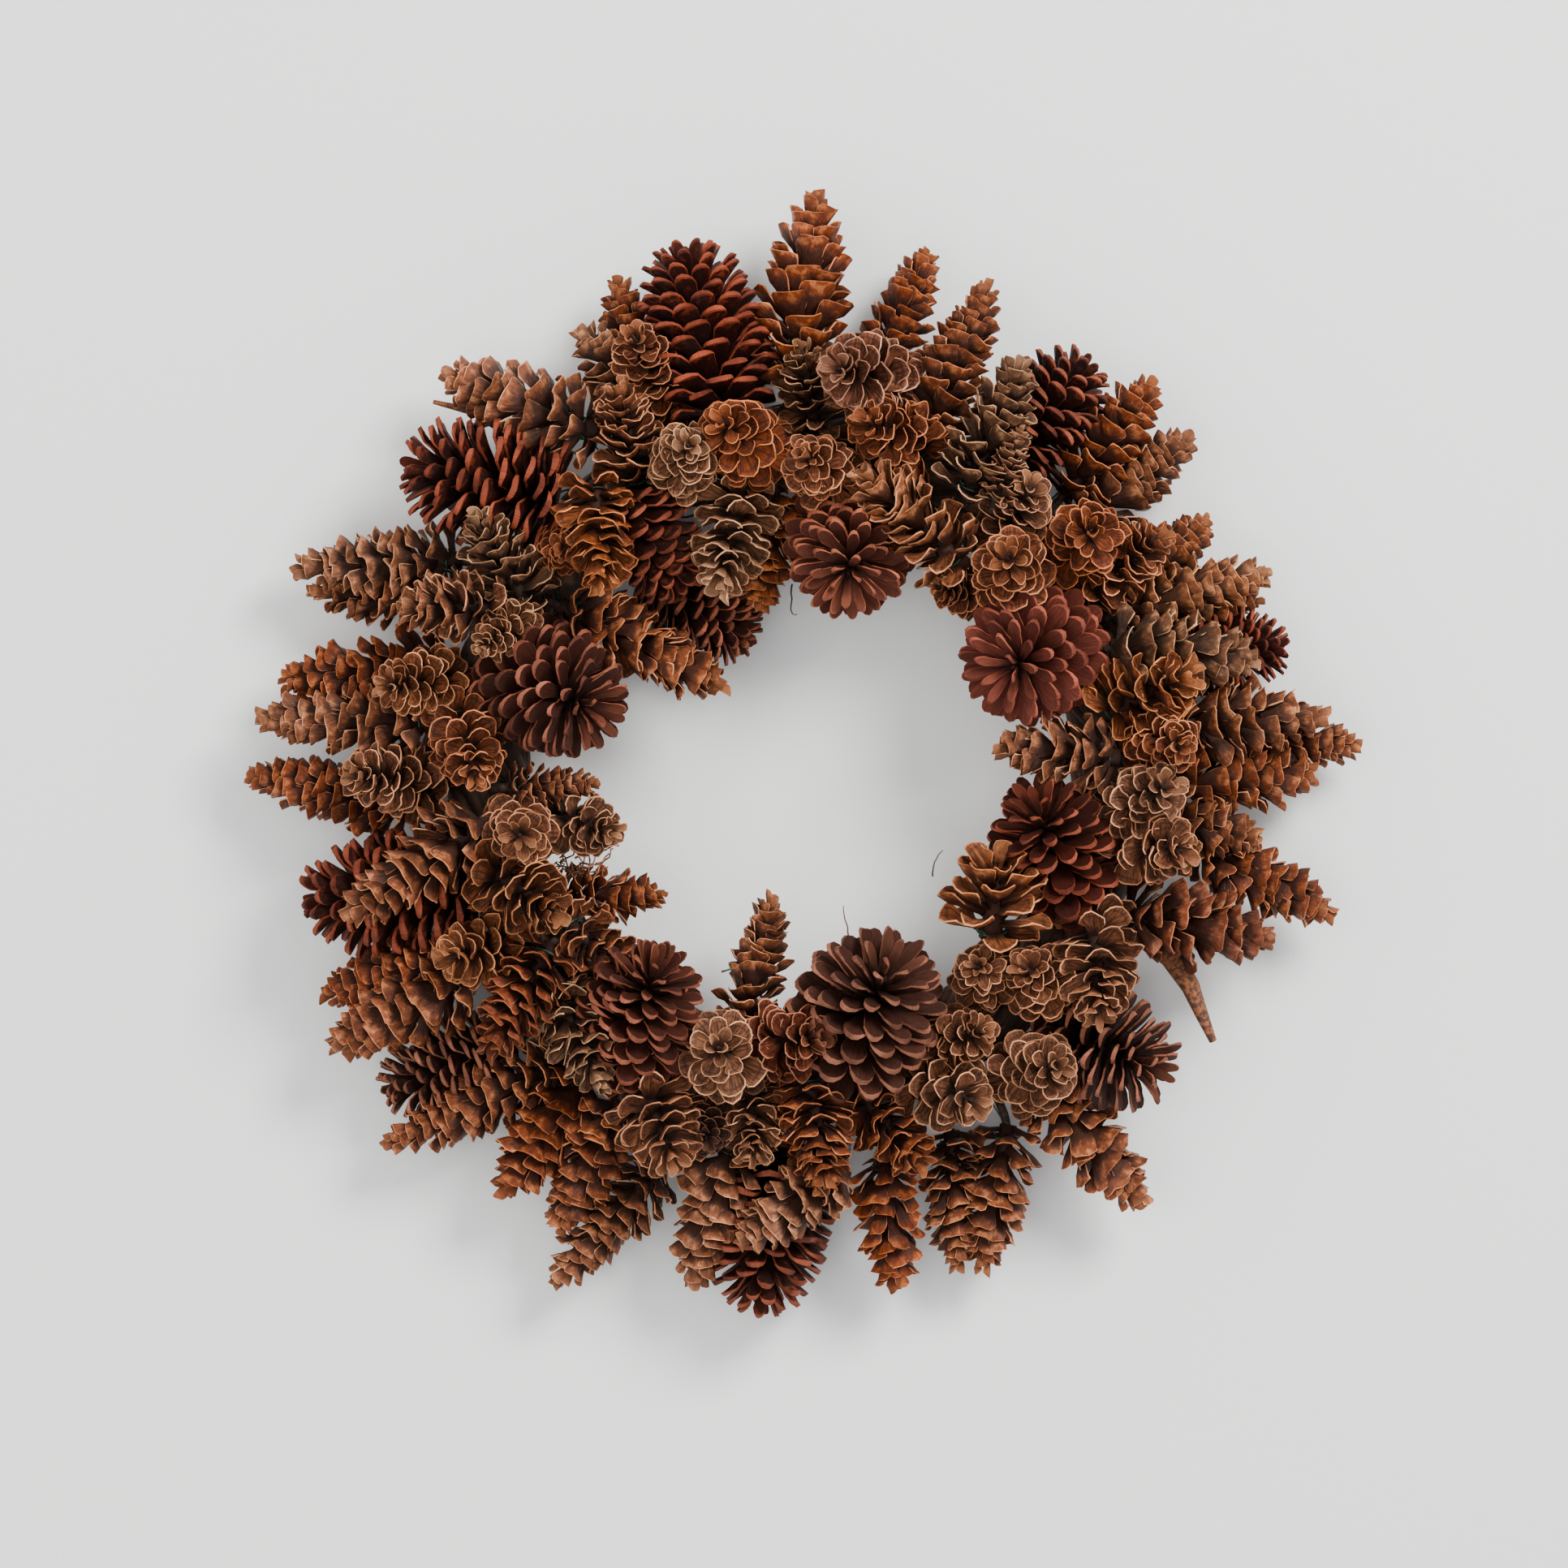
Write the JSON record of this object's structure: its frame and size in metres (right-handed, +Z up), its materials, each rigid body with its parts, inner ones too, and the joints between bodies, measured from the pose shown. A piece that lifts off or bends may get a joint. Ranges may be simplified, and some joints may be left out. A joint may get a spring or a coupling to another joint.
{
  "type": "pinecone wreath",
  "caption": "Round wall wreath of open pine cones wired on a vine ring, with a hanging loop at the back of its top.",
  "frame": {"origin": "top of the hanging loop's eye, where the nail bears, in the plane of the wall", "axes": "+Z up, +Y into the wall, the wreath faces -Y, +X to the viewer's right"},
  "size_m": [0.6018, 0.1339, 0.608],
  "materials": {
    "slim_cone_brown": "matt, weathered",
    "slim_cone_grey": "matt, weathered",
    "slim_cone_golden": "matt, weathered",
    "slim_cone_red": "matt, weathered",
    "slim_cone_pale": "matt, weathered",
    "broad_cone": "matt, slightly waxy",
    "vine": "matt, fibrous",
    "green_wire": "satin",
    "loop_wire": "dull"
  },
  "bodies": {
    "root": {"slim_cones_01": "slim_cone_brown", "slim_cones_02": "slim_cone_brown", "slim_cones_03": "slim_cone_brown", "slim_cones_04": "slim_cone_brown", "slim_cones_05": "slim_cone_grey", "slim_cones_06": "slim_cone_brown", "slim_cones_07": "slim_cone_brown", "slim_cones_08": "slim_cone_brown", "slim_cones_09": "slim_cone_brown", "slim_cones_10": "slim_cone_grey", "slim_cones_11": "slim_cone_brown", "slim_cones_12": "slim_cone_brown", "slim_cones_13": "slim_cone_brown", "slim_cones_14": "slim_cone_brown", "slim_cones_15": "slim_cone_brown", "slim_cones_16": "slim_cone_golden", "slim_cones_17": "slim_cone_brown", "slim_cones_18": "slim_cone_brown", "slim_cones_19": "slim_cone_brown", "slim_cones_20": "slim_cone_brown", "slim_cones_21": "slim_cone_brown", "slim_cones_22": "slim_cone_brown", "slim_cones_23": "slim_cone_brown", "slim_cones_24": "slim_cone_brown", "slim_cones_25": "slim_cone_brown", "slim_cones_26": "slim_cone_brown", "slim_cones_27": "slim_cone_red", "slim_cones_28": "slim_cone_golden", "slim_cones_29": "slim_cone_brown", "slim_cones_30": "slim_cone_brown", "slim_cones_31": "slim_cone_brown", "slim_cones_32": "slim_cone_brown", "slim_cones_33": "slim_cone_brown", "slim_cones_34": "slim_cone_brown", "slim_cones_35": "slim_cone_brown", "slim_cones_36": "slim_cone_grey", "slim_cones_37": "slim_cone_brown", "slim_cones_38": "slim_cone_golden", "slim_cones_39": "slim_cone_brown", "slim_cones_40": "slim_cone_brown", "slim_cones_41": "slim_cone_pale", "slim_cones_42": "slim_cone_pale", "broad_cone_01": "broad_cone", "broad_cone_02": "broad_cone", "broad_cone_03": "broad_cone", "broad_cone_04": "broad_cone", "broad_cone_05": "broad_cone", "broad_cone_06": "broad_cone", "broad_cone_07": "broad_cone", "broad_cone_08": "broad_cone", "broad_cone_09": "broad_cone", "broad_cone_10": "broad_cone", "broad_cone_11": "broad_cone", "broad_cone_12": "broad_cone", "broad_cone_13": "broad_cone", "broad_cone_14": "broad_cone", "broad_cone_15": "broad_cone", "vine_ring": "vine", "binding_wire": "green_wire", "hanging_loop": "loop_wire"}
  },
  "joints": []
}
